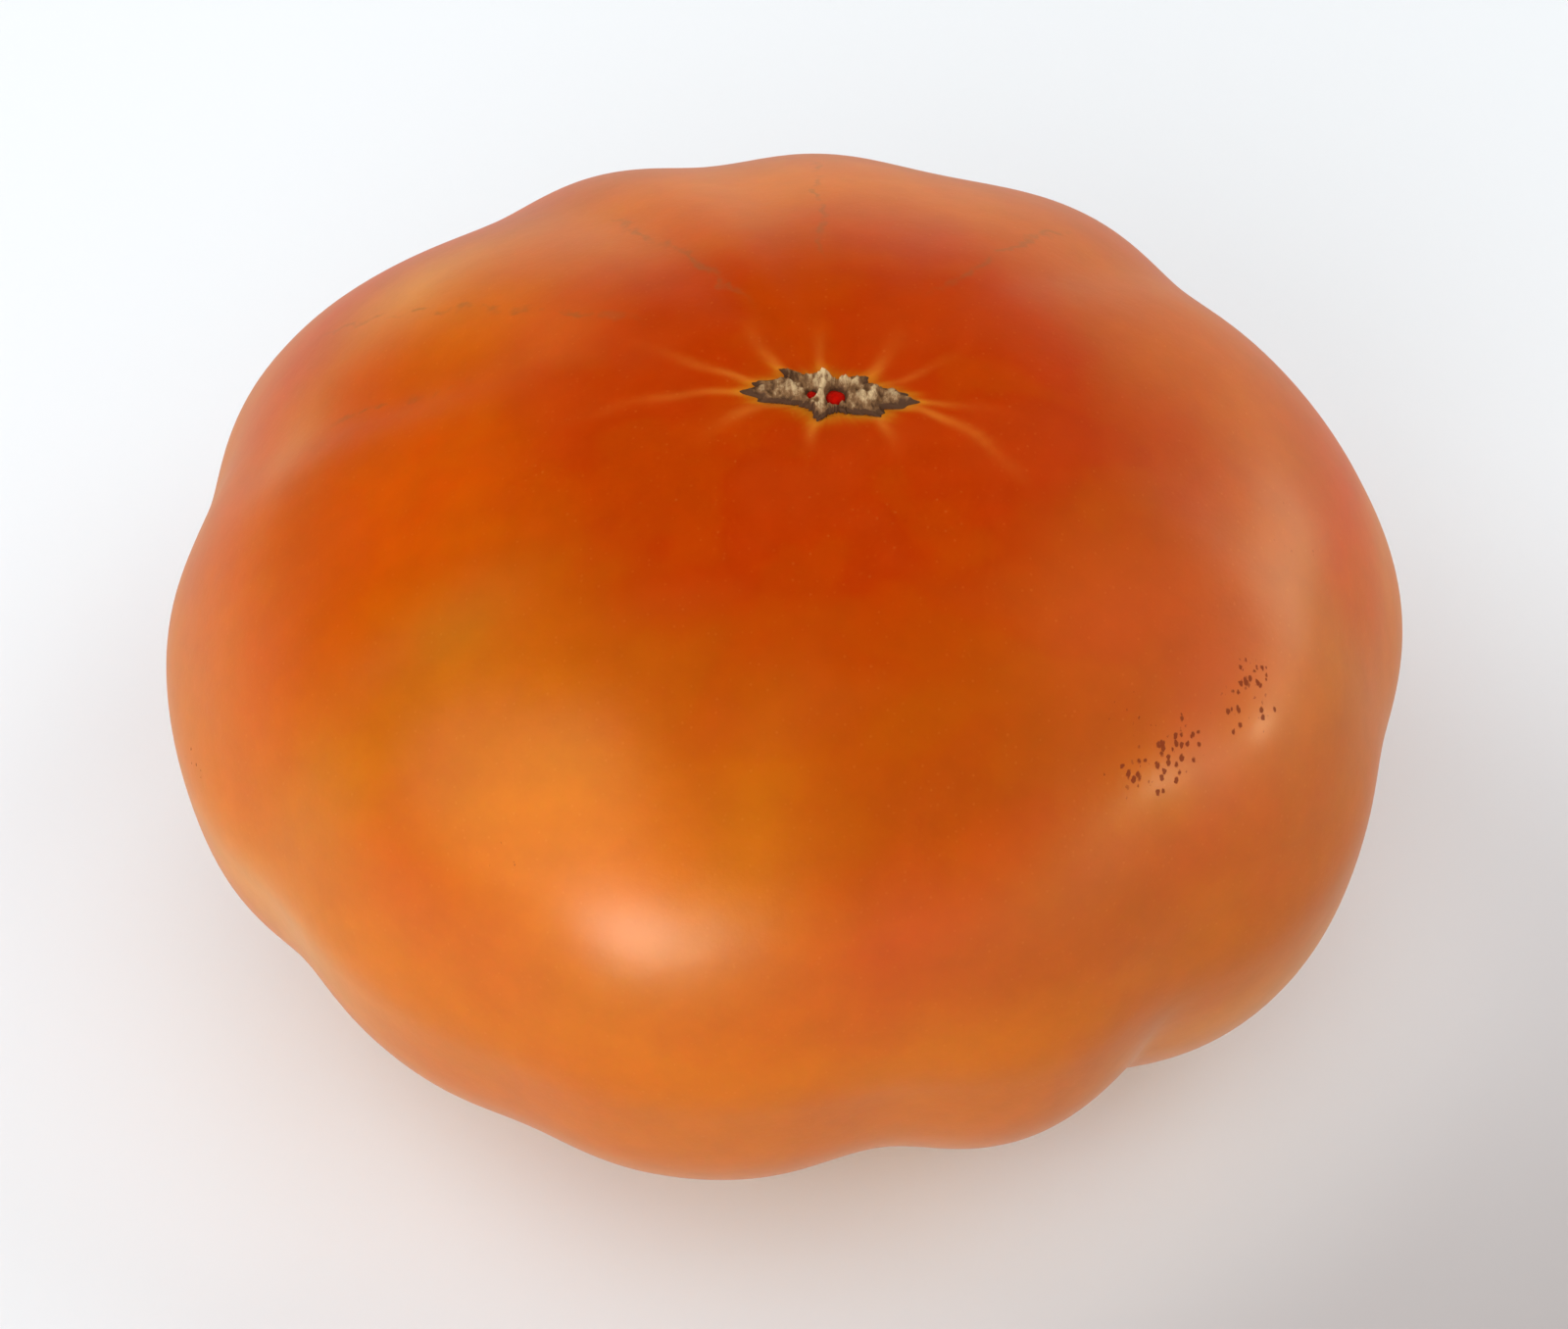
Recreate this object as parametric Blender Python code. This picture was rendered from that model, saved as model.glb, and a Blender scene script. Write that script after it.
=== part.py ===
"""A ribbed beefsteak tomato as one solid, lying on the shoulders round its stem cavity, blossom end up.

The skin is a squashed superellipse, pressed in along ten furrows. It is read at an azimuth, the angle in plan
from +X, and a latitude, +90 degrees at the blossom end and -90 at the stem end. Lengths in the constants are
millimetres and angles are degrees; the mesh is in metres with its origin under the middle of the fruit.
"""

import bmesh
import bpy
import numpy as np

MM = 0.001

# The fruit before the furrows are pressed in
HALF_WIDTH = 50.0
HALF_DEPTH = 48.4
CROWN_HEIGHT = 34.5  # from the equator to the blossom end
BASE_HEIGHT = 32.0  # from the equator to the stem end
CROWN_POWER = 1.74
BASE_POWER = 2.25
CROWN_LEAN = (3.8, -1.7)  # how far the blossom end sits off the middle, in X and Y

# The ribs: the furrow before each one (its azimuth, depth and half-width), and how full the rib stands
RIBS = (
    (40, 5.2, 14, 1.4),
    (73, 3.6, 14, 1.1),
    (100, 2.2, 14, 1.5),
    (124, 1.0, 14, 1.6),
    (165, 3.6, 14, -1.6),
    (213, 5.6, 14, -1.0),
    (243, 4.8, 14, -1.4),
    (280.5, 6.4, 14, -0.2),
    (309.5, 4.8, 13, -0.4),
    (349, 3.4, 14, 0.0),
)
RIB_FADE_LATITUDE = 21.0  # where the furrows are half gone on the way up to the blossom end
RIB_FADE_SPREAD = 9.0
FULLNESS_ON_CROWN = 0.35
SHOULDER_LATITUDES = (-36.0, -68.0)  # between these the ribs grow level, and the furrows alike
SHOULDER_SINK = 5.0  # how far the rib crests then lie inside the plain form
SHOULDER_FURROW_DEPTH = 3.6  # from crest to furrow there

# The blossom end: a shallow dimple with a corky star-shaped scar
DIMPLE_DEPTH = 2.0
DIMPLE_RADIUS = 10.0
SCAR_HALF_LENGTH = 5.8
SCAR_HALF_WIDTH = 2.0
SCAR_SPIKES = (  # azimuth and how far each point of the star runs out
    (-6, 0.9),
    (-30, 0.9),
    (-75, 0.5),
    (-110, 0.7),
    (-170, 0.4),
    (35, 0.3),
    (70, 0.5),
    (102, 0.6),
    (146, 1.0),
    (174, 0.5),
)
SPIKE_SPREAD = 6.0
CORK_THICKNESS = 0.45
CORK_END = 1.04  # where the cork has thinned out to nothing, as a share of the outline
CORK_BEVEL = 0.18  # the share over which it thins out
WARTS = (  # x and y from the middle of the scar, radius and height
    (-2.8, 0.4, 0.9, 0.45),
    (2.4, -0.6, 1.0, 0.45),
    (-0.5, 1.3, 0.6, 0.5),
    (-0.6, -0.7, 0.6, 0.5),
    (1.1, 1.0, 0.6, 0.35),
)
PITS = (  # x and y from the middle of the scar, radius and depth
    (0.4, -0.1, 0.75, 1.5),
    (-1.5, -0.1, 0.4, 0.9),
)

# The stem end: a cavity with the ring-shaped corky scar that the stalk leaves
CAVITY_RADIUS = 20.0
CAVITY_DEPTH = 15.0
FURROW_END_RADIUS = 20.0  # inside this the furrows run out towards the scar
STALK_RING_RADIUS = 5.0
STALK_RING_HEIGHT = 0.7
STALK_RING_SPREAD = 1.1
STALK_PIT_DEPTH = 1.2

# How far the shoulders are pressed flat where the fruit lies on them
SETTLE = 0.55

# The mesh: vertices in one turn, and the rows from the blossom end to the stem end
TURN_FINE = 90
TURN_SCAR = 72
TURN_MIDDLE = 48
TURN_SMALL = 24
TURN_CENTRE = 12
SCAR_ROWS = (  # share of the way out to the scar's outline, and the vertices in that row
    (0.18, TURN_CENTRE),
    (0.4, TURN_SMALL),
    (0.62, TURN_MIDDLE),
    (0.84, TURN_SCAR),
    (1.0, TURN_SCAR),
)
RIM_ROWS = (0.12, 0.3, 0.55, 0.8, 1.0)  # shares of the way from the scar's outline to a circle
RIM_RADIUS = 9.0
CROWN_ROWS = 17
BASE_ROWS = 13
SHOULDER_RADIUS = 22.0  # where the base rows end and the cavity rows begin
CAVITY_ROWS = (  # radius, and the vertices in that row
    (20.6, TURN_FINE),
    (19.4, TURN_FINE),
    (18.2, TURN_FINE),
    (16.6, TURN_FINE),
    (14.0, TURN_SCAR),
    (11.0, TURN_SCAR),
    (8.5, TURN_MIDDLE),
    (6.6, TURN_MIDDLE),
    (5.6, TURN_MIDDLE),
    (4.6, TURN_MIDDLE),
    (3.2, TURN_SMALL),
    (1.5, TURN_CENTRE),
)

SKIN_COLOUR = (0.75, 0.11, 0.01)
SKIN_ROUGHNESS = 0.35


def turned(angle):
    """The angle brought into half a turn either way, radians."""
    return (angle + np.pi) % (2 * np.pi) - np.pi


def eased(share):
    """Runs from 0 to 1 with no corner at either end."""
    share = np.clip(share, 0, 1)
    return share * share * (3 - 2 * share)


def latitude_at(radius, power):
    """The latitude, above the equator, where the plan radius is this share of the widest."""
    return np.arctan2((1 - radius**power) ** (1 / power), radius)


def rib_relief(azimuth, latitude):
    """How far the skin stands off the plain form: out where a rib is full, in along a furrow."""
    full = 1 / (1 + np.exp((np.degrees(latitude) - RIB_FADE_LATITUDE) / RIB_FADE_SPREAD))
    relief = np.zeros(np.shape(azimuth))
    rounding = np.zeros(np.shape(azimuth))
    for index, (start, depth, half_width, fullness) in enumerate(RIBS):
        across = turned(azimuth - np.radians(start)) / np.radians(half_width)
        relief -= depth * full / (1 + across**2)
        span = np.radians((RIBS[(index + 1) % len(RIBS)][0] - start) % 360)
        off_crest = np.abs(turned(azimuth - np.radians(start) - span / 2)) / (span / 2)
        crest = np.cos(np.clip(off_crest, 0, 1) * np.pi / 2)
        rounding += crest
        relief += fullness * (FULLNESS_ON_CROWN + (1 - FULLNESS_ON_CROWN) * full) * crest**2 * np.cos(latitude)
    begin, end = SHOULDER_LATITUDES
    shoulder = eased((begin - np.degrees(latitude)) / (begin - end))
    level = SHOULDER_SINK + SHOULDER_FURROW_DEPTH * (1 - rounding)
    return (1 - shoulder) * relief - shoulder * level


def scar_outline(azimuth):
    """The distance from the middle of the blossom scar to its edge."""
    cosine, sine = np.cos(azimuth), np.sin(azimuth)
    reach = SCAR_HALF_LENGTH * SCAR_HALF_WIDTH / np.hypot(SCAR_HALF_WIDTH * cosine, SCAR_HALF_LENGTH * sine)
    for place, length in SCAR_SPIKES:
        off_spike = np.degrees(turned(azimuth - np.radians(place))) / SPIKE_SPREAD
        reach = reach + length * np.exp(-(off_spike**2))
    return reach


def blossom_relief(x, y):
    """How far the surface stands off the form round the blossom end, at x and y from its middle."""
    radius = np.hypot(x, y)
    relief = -DIMPLE_DEPTH * np.exp(-((radius / DIMPLE_RADIUS) ** 2))
    share = radius / scar_outline(np.arctan2(y, x))
    cork = eased((CORK_END - share) / CORK_BEVEL)
    relief += CORK_THICKNESS * cork
    for wart_x, wart_y, size, height in WARTS:
        relief += height * cork * np.exp(-(((x - wart_x) ** 2 + (y - wart_y) ** 2) / size**2))
    for pit_x, pit_y, size, depth in PITS:
        relief -= depth * cork * np.exp(-((((x - pit_x) ** 2 + (y - pit_y) ** 2) / size**2) ** 2))
    return relief


def cavity_lift(radius):
    """How far the underside is raised at this distance from the stem end's middle."""
    bowl = CAVITY_DEPTH * np.clip(1 - (radius / CAVITY_RADIUS) ** 2, 0, 1) ** 2
    ring = STALK_RING_HEIGHT * np.exp(-(((radius - STALK_RING_RADIUS) / STALK_RING_SPREAD) ** 2))
    pit = STALK_PIT_DEPTH * eased(1 - radius / STALK_RING_RADIUS)
    return bowl - ring + pit


def skin(azimuth, latitude):
    """Points of the surface, as an array of x, y and z, with the equator at z = 0."""
    crown = latitude > 0
    power = np.where(crown, CROWN_POWER, BASE_POWER)
    height = np.where(crown, CROWN_HEIGHT, BASE_HEIGHT)
    cosine, sine = np.cos(latitude), np.sin(latitude)
    stretch = (np.abs(cosine) ** power + np.abs(sine) ** power) ** (-1 / power)
    radius, rise = cosine * stretch, sine * stretch
    east, north = np.cos(azimuth), np.sin(azimuth)

    slope = np.abs(radius) ** (power - 1)
    normal = np.stack(
        [
            slope * east / HALF_WIDTH,
            slope * north / HALF_DEPTH,
            np.sign(rise) * np.abs(rise) ** (power - 1) / height,
        ],
        axis=-1,
    )
    normal /= np.linalg.norm(normal, axis=-1, keepdims=True)

    x, y, z = HALF_WIDTH * radius * east, HALF_DEPTH * radius * north, height * rise
    relief = rib_relief(azimuth, latitude)
    relief = relief * np.where(crown, 1, eased(np.hypot(x, y) / FURROW_END_RADIUS))
    relief = relief + np.where(crown, blossom_relief(x, y), 0)
    z = z + np.where(crown, 0, cavity_lift(np.hypot(x, y)))
    lean = eased(latitude / (np.pi / 2))
    points = np.stack([x + CROWN_LEAN[0] * lean, y + CROWN_LEAN[1] * lean, z], axis=-1)
    return points + normal * relief[..., None]


def one_turn(count):
    return np.arange(count) * 2 * np.pi / count


def rows():
    """The rows of points, ring by ring from the blossom end to the stem end."""
    found = []
    for share, count in SCAR_ROWS:
        azimuth = one_turn(count)
        found.append(skin(azimuth, latitude_at(share * scar_outline(azimuth) / HALF_WIDTH, CROWN_POWER)))
    azimuth = one_turn(TURN_SCAR)
    for share in RIM_ROWS:
        radius = (1 - share) * scar_outline(azimuth) + share * RIM_RADIUS
        found.append(skin(azimuth, latitude_at(radius / HALF_WIDTH, CROWN_POWER)))
    azimuth = one_turn(TURN_FINE)
    highest = latitude_at(RIM_RADIUS / HALF_WIDTH, CROWN_POWER)
    lowest = -latitude_at(SHOULDER_RADIUS / HALF_WIDTH, BASE_POWER)
    for latitude in np.linspace(highest, 0, CROWN_ROWS + 1)[1:]:
        found.append(skin(azimuth, np.full(TURN_FINE, latitude)))
    for latitude in np.linspace(0, lowest, BASE_ROWS + 1)[1:]:
        found.append(skin(azimuth, np.full(TURN_FINE, latitude)))
    for radius, count in CAVITY_ROWS:
        azimuth = one_turn(count)
        found.append(skin(azimuth, np.full(count, -latitude_at(radius / HALF_WIDTH, BASE_POWER))))
    return found


def settle(rings):
    """Presses the shoulders flat and moves the fruit to stand on z = 0, its box's middle over the origin."""
    every = np.concatenate(rings)
    floor = every[:, 2].min() + SETTLE
    middle = (every.min(axis=0) + every.max(axis=0)) / 2
    shift = np.array([middle[0], middle[1], floor])
    return [np.maximum(ring, [-np.inf, -np.inf, floor]) - shift for ring in rings]


def stitch(mesh, upper, lower):
    """Fills between two rings of vertices, which may differ in count, with triangles."""
    i = j = 0
    while i < len(upper) or j < len(lower):
        if (i + 1) * len(lower) <= (j + 1) * len(upper):
            corners = (upper[i], lower[j % len(lower)], upper[(i + 1) % len(upper)])
            i += 1
        else:
            corners = (upper[i % len(upper)], lower[j], lower[(j + 1) % len(lower)])
            j += 1
        mesh.faces.new(corners)


def tomato_mesh():
    mesh = bmesh.new()
    rings = [[mesh.verts.new(point * MM) for point in ring] for ring in settle(rows())]
    for upper, lower in zip(rings, rings[1:]):
        stitch(mesh, upper, lower)
    mesh.faces.new(rings[0])
    mesh.faces.new(reversed(rings[-1]))
    bmesh.ops.recalc_face_normals(mesh, faces=mesh.faces)
    data = bpy.data.meshes.new("tomato")
    mesh.to_mesh(data)
    mesh.free()
    data.shade_smooth()
    return data


def tomato_skin():
    material = bpy.data.materials.new("tomato_skin")
    material.use_nodes = True
    shader = material.node_tree.nodes["Principled BSDF"]
    shader.inputs["Base Color"].default_value = (*SKIN_COLOUR, 1)
    shader.inputs["Roughness"].default_value = SKIN_ROUGHNESS
    return material


def main():
    for old in list(bpy.data.objects):
        bpy.data.objects.remove(old, do_unlink=True)
    tomato = bpy.data.objects.new("tomato", tomato_mesh())
    tomato.data.materials.append(tomato_skin())
    bpy.context.scene.collection.objects.link(tomato)


if __name__ == "__main__":
    main()
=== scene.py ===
"""Looks of a ribbed beefsteak tomato that lies on its shoulders, blossom end up.

The fine skin repeats the part's own formulas on a denser mesh. Lengths in the constants are millimetres,
unless they say otherwise, and angles are degrees. A place on the fruit is an azimuth, the angle in plan from
+X, and a latitude, +90 degrees at the blossom end and -90 at the stem end.
"""

import bpy
import numpy as np
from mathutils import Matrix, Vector, noise


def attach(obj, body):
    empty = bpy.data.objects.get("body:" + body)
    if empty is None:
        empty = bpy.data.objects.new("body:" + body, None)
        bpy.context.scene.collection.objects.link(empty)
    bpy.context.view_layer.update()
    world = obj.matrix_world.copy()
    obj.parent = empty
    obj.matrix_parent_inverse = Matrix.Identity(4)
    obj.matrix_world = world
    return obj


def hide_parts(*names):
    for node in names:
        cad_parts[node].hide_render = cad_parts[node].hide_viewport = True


bl_info = {
    "name": "Ribbed tomato",
    "version": (1, 0, 0),
    "blender": (4, 5, 0),
    "location": "View3D > Sidebar > Tomato",
    "description": "Builds the skin and scars of a ripe beefsteak tomato, and a pale studio round it",
    "category": "Object",
}

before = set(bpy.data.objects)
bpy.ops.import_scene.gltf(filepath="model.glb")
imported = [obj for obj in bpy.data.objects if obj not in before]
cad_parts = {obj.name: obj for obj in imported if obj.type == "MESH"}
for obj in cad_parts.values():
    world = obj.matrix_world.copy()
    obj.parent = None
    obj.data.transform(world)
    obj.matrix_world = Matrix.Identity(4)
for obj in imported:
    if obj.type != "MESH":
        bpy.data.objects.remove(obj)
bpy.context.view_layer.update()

MM = 0.001

# The form, as the part has it
HALF_WIDTH = 50.0
HALF_DEPTH = 48.4
CROWN_HEIGHT = 34.5
BASE_HEIGHT = 32.0
CROWN_POWER = 1.74
BASE_POWER = 2.25
CROWN_LEAN = (3.8, -1.7)
RIBS = (  # the furrow before each rib: its azimuth, depth and half-width, and how full the rib stands
    (40, 5.2, 14, 1.4),
    (73, 3.6, 14, 1.1),
    (100, 2.2, 14, 1.5),
    (124, 1.0, 14, 1.6),
    (165, 3.6, 14, -1.6),
    (213, 5.6, 14, -1.0),
    (243, 4.8, 14, -1.4),
    (280.5, 6.4, 14, -0.2),
    (309.5, 4.8, 13, -0.4),
    (349, 3.4, 14, 0.0),
)
RIB_FADE_LATITUDE = 21.0
RIB_FADE_SPREAD = 9.0
FULLNESS_ON_CROWN = 0.35
SHOULDER_LATITUDES = (-36.0, -68.0)
SHOULDER_SINK = 5.0
SHOULDER_FURROW_DEPTH = 3.6
DIMPLE_DEPTH = 2.0
DIMPLE_RADIUS = 10.0
CORK_THICKNESS = 0.45
CORK_END = 1.04
CORK_BEVEL = 0.18
CAVITY_RADIUS = 20.0
CAVITY_DEPTH = 15.0
FURROW_END_RADIUS = 20.0
STALK_RING_RADIUS = 5.0
STALK_RING_HEIGHT = 0.7
STALK_RING_SPREAD = 1.1
STALK_PIT_DEPTH = 1.2
SETTLE = 0.55

# The fine skin's mesh
TURN = 384
PIT_TO_RIM_ROWS = 26
RIM_RADIUS = 9.0
CROWN_ROWS = 78
BASE_ROWS = 44
SHOULDER_RADIUS = 22.0
CAVITY_ROWS = 40
INNERMOST_RADIUS = 0.3

# Small swellings of the skin that the part leaves out: azimuth, latitude, radius and height
SWELLINGS = (
    (312, 38, 5.0, 0.26),
    (327, 34, 4.0, 0.2),
    (347, 40, 8.0, 0.2),
    (236, 52, 8.0, 0.3),
    (205, 40, 7.0, 0.3),
    (20, 46, 8.0, 0.3),
)
# Shallow folds above the furrows: azimuth, the latitudes between which each runs, half-width and depth
FOLDS = (
    (168, 24, 60, 7.0, 0.55),
    (213, 22, 56, 6.0, 0.25),
    (349, 22, 60, 8.0, 0.3),
    (40, 26, 64, 7.0, 0.35),
    (100, 24, 62, 7.0, 0.25),
    (124, 24, 62, 7.0, 0.25),
)
CREASE_AZIMUTH = 309.5  # the one furrow that closes to a crease low down
CREASE_DEPTH = 0.7
CREASE_HALF_WIDTH = 3.2
CREASE_LATITUDES = (2.0, -16.0)  # it begins at the first, is full at the second
CREASE_END = -60.0  # and has faded out here
CREASE_END_SPREAD = 20.0
EQUATOR_BLEND = 18.0  # the crown's curve passes into the base's between this latitude and its opposite
UNDER_SCAR_DIP = 2.1  # how far the skin is sunk below the cork

# The blossom scar, finer than in the part and set where the photo has it
SCAR_MIDDLE = (0.0, -0.9)  # x and y from the pole
CORK_TURN = 320
CORK_ROWS = 34
CORK_UNDERSIDE_ROWS = 11
CORK_UNDERSIDE = 0.5  # how far the cork reaches into the skin at its edge
CORK_CORE = 1.8  # and at its middle
CORK_RIDGE_HEIGHT = 0.3
CORK_RIDGE_GRAIN = 0.42
FLESH_BEAD_FLATNESS = 0.45
FLESH_BEAD_ROWS = 14
FLESH_BEAD_TURN = 32
SCAR_EDGE = (  # azimuth and distance of the tips and hollows of the star
    (-174, 5.1),
    (-168, 3.6),
    (-158, 2.5),
    (-141, 2.1),
    (-128, 2.2),
    (-114, 2.8),
    (-96, 1.8),
    (-74, 1.6),
    (-57, 2.1),
    (-42, 2.8),
    (-31, 4.0),
    (-19, 4.2),
    (-12, 5.4),
    (-6, 6.4),
    (-1, 5.4),
    (7, 4.6),
    (15, 3.5),
    (28, 2.9),
    (38, 3.3),
    (50, 2.2),
    (65, 1.75),
    (80, 1.6),
    (92, 2.0),
    (104, 2.7),
    (117, 2.1),
    (133, 2.6),
    (144, 4.5),
    (153, 3.8),
    (161, 4.5),
    (166, 6.1),
    (170, 5.3),
    (175, 6.4),
)
WARTS = (  # x and y from the middle of the scar, radius and height
    (-0.85, 1.5, 0.75, 0.55),
    (-0.8, 0.5, 0.5, 0.6),
    (-0.85, -0.4, 0.42, 0.6),
    (-1.0, -1.5, 0.55, 0.45),
    (-2.95, 0.5, 0.65, 0.5),
    (-3.4, 1.8, 0.4, 0.25),
    (2.45, -0.5, 0.7, 0.45),
    (0.95, 1.2, 0.45, 0.4),
    (1.7, 1.0, 0.35, 0.3),
    (4.6, -0.5, 0.4, 0.25),
)
PITS = (  # x and y from the middle of the scar, radius and depth
    (0.2, -0.1, 0.72, 1.4),
    (-1.5, 0.0, 0.42, 1.0),
)

# The ring-shaped cork in the stem cavity
STALK_CORK_RADIUS = 6.8
STALK_CORK_TURN = 192
STALK_CORK_ROWS = 26
STALK_CORK_START = 0.3 / 7.4  # its innermost ring, as a share of its radius
STALK_CORK_DEPTH = 0.6  # how far its back is sunk in the flesh below the pit
STALK_CORK_THICKNESS = 0.3
STALK_CORK_BEVEL = 1.4
STALK_CRUMB_HEIGHT = 0.3
STALK_CRUMB_GRAIN = 1.1

# The pale lines that run out from the blossom scar: azimuth and distance where each begins, the same where
# it has faded, width and strength
VEINS = (
    (-12, 6.4, -29, 16.0, 0.4, 0.56),
    (-6, 6.4, -6, 12.0, 0.3, 0.35),
    (38, 3.3, 53, 8.5, 0.5, 0.42),
    (16, 4.6, 27, 11.0, 0.35, 0.25),
    (104, 2.6, 96, 7.6, 0.32, 0.42),
    (143, 4.6, 128, 10.0, 0.45, 0.4),
    (165, 6.2, 157, 14.0, 0.32, 0.5),
    (176, 6.5, 182, 17.0, 0.34, 0.42),
    (191, 5.1, 204, 10.0, 0.5, 0.4),
    (246, 2.9, 254, 6.5, 0.4, 0.42),
    (326, 4.0, 309, 7.5, 0.45, 0.45),
)
# Thin dry lines along the furrows behind the scar: azimuth, and the latitudes between which each shows
DRY_LINES = (
    (92, 47, 72),
    (125, 54, 76),
    (152, 34, 70),
    (53, 50, 74),
    (168, 42, 56),
)
DRY_LINE_STRENGTH = 0.38
DRY_LINE_REACH = 8.0  # how far to either side of its azimuth a line may wander
HALO_WIDTH = 0.95  # the olive yellow halo round the scar
HALO_STRENGTH = 0.8

# The skin's colours by latitude, from the blossom end to the stem end
SKIN_BANDS = (
    (90, "crown"),
    (68, "crown"),
    (58, "red"),
    (44, "red"),
    (30, "orange"),
    (14, "amber"),
    (-35, "amber"),
    (-58, "straw"),
    (-90, "green"),
)
# Patches that ripened otherwise: azimuth, latitude, half-width and half-height in degrees, colour, strength
PATCHES = (
    (95, 53, 56, 13, "amber", 0.9),
    # Yellower skin under the main highlight and its glow: partly painted highlight tint
    (255, 30, 15, 10, "honey_and_highlight_tint", 0.8),
    (238, 41, 12, 9, "honey_and_highlight_tint", 0.7),
    (192, 50, 20, 14, "orange", 0.9),
    (188, 28, 24, 12, "amber", 0.5),
    (162, 44, 9, 5, "orange", 0.6),
    # Pale streak below the fold: partly painted reflection of the pale floor
    (168, 36, 9, 5, "straw", 0.3),
    (146, 43, 12, 7, "straw", 0.65),
    (156, 63, 14, 7, "blush", 0.75),
    (116, 62, 10, 6, "blush", 0.35),
    (358, 57, 14, 8, "crown", 0.8),
    (270, 45, 14, 7, "red", 0.6),
    (224, 50, 18, 9, "gold", 0.5),
    (215, 50, 6, 6, "green", 0.15),
    (246, 34, 20, 13, "amber", 0.85),
    (264, 42, 5, 12, "gold", 0.6),
    (298, 28, 14, 10, "red", 0.6),
    # Tan patches, here and below, darken the skin as painted shade on the side away from the window
    (300, 28, 14, 9, "tan", 0.6),
    (268, 46, 10, 8, "tan", 0.3),
    (172, 52, 16, 9, "orange", 0.5),
    (152, 54, 12, 8, "amber", 0.5),
    # Yellower skin under the three highlights on the right: partly painted highlight tint
    (346, 41, 12, 8, "honey_and_highlight_tint", 0.4),
    (327, 33, 7, 5, "honey_and_highlight_tint", 0.5),
    (312, 36, 7, 5, "honey_and_highlight_tint", 0.5),
    # Deeper red between two of these highlights: painted shade of a shallow groove there
    (321, 46, 6, 5, "red", 0.5),
    # Tan on the front right is more painted shade, away from the window
    (320, 12, 24, 24, "tan", 0.7),
    (341, 28, 9, 9, "honey_and_highlight_tint", 0.6),
    (336, 22, 12, 9, "tan", 0.5),
    (216, 28, 10, 14, "honey_and_highlight_tint", 0.5),
    (324, -14, 18, 10, "straw", 0.5),
    (212, -2, 16, 12, "straw", 0.75),
    (318, 55, 14, 7, "blush", 0.5),
    (335, 44, 16, 10, "blush", 0.35),
    (20, 44, 24, 12, "amber", 0.5),
)
# Clusters of small brown freckles: azimuth, latitude, half-width and half-height in degrees, strength
FRECKLES = (
    (314, 39.5, 7, 3.6, 1.9),
    (328, 37.5, 6, 4, 1.9),
    (313, 46, 8, 4, 0.6),
    (238, 33, 10, 7, 0.42),
    (262, 14, 14, 6, 0.36),
    (196, 11, 9, 6, 0.55),
    (352, 40, 10, 8, 0.5),
    (290, 20, 14, 8, 0.34),
    (56, 50, 16, 6, 0.36),
)
RIPENESS_DRIFT = 5.0  # how far the bands of colour wander up and down
RIPENESS_DRIFT_GRAIN = 16.0
CLOUD_GRAIN = 9.0  # clouds of a redder or yellower tint

# How many of each pattern's lumps fit in a metre
MOTTLE = 330.0  # cells of the flesh that show through the skin, 3 mm
PORES = 1700.0  # 0.6 mm apart
FRECKLES_APART = 2300.0  # 0.4 mm
FRECKLE_CLUMPS = 650.0  # 1.5 mm
FRECKLE_EDGES = 3500.0  # their ragged edges, 0.3 mm
SKIN_DENTS = 260.0  # 4 mm
SKIN_GRAIN = 2600.0  # 0.4 mm
DRY_LINE_BENDS = 450.0  # 2 mm
DRY_LINE_GAPS = 600.0  # 1.7 mm
FLESH_CELLS = 2500.0  # 0.4 mm
PAPER_FIBRES = 900.0  # 1 mm, coarser than real ones so that they show

# The lights: azimuth from the front towards the right, elevation, distance and size in metres, watts and
# colour. Those that make the highlights show in reflections only.
REFLECTED_LIGHTS = (
    ("window", -24, 10, 1.0, 0.36, 4.6, "#FFFAE8"),
    ("window_blind", -54, 32, 1.0, 0.9, 4.1, "#FFF2DC"),
    ("side_pane_1", 68, 15, 1.0, 0.16, 1.15, "#FFFAD0"),
    ("side_pane_2", 91, 5, 1.0, 0.14, 0.95, "#FFFAD0"),
    ("side_pane_3", 116, 6, 1.0, 0.44, 1.1, "#FFF6D8"),
)
FILL_LIGHTS = (  # these light the room evenly and don't show in reflections
    ("ceiling", -20, 66, 1.2, 2.4, 19.8, "#FFFEFF"),
    ("left_sky", -110, 38, 1.2, 1.0, 3.4, "#FBFCFF"),
    ("front_sky", -30, 24, 1.2, 1.2, 6.3, "#FBFCFF"),
    ("right_sky", 112, 36, 1.2, 1.0, 3.8, "#FBFCFF"),
    ("back_sky", 175, 26, 1.2, 1.0, 5.0, "#FBFCFF"),
)

FLOOR_TURN = 96

# The camera
SENSOR_WIDTH = 36.0
LENS = 127.7
AIM_BESIDE = 0.40  # how far to the right of the fruit's middle the camera aims
AIM_ABOVE = 0.60  # and how far above it in the picture


def hex_linear(code):
    """The linear colour of an sRGB hex value, with alpha 1."""
    shares = [int(code[i : i + 2], 16) / 255 for i in (1, 3, 5)]
    return (*(c / 12.92 if c <= 0.04045 else ((c + 0.055) / 1.055) ** 2.4 for c in shares), 1.0)


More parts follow.
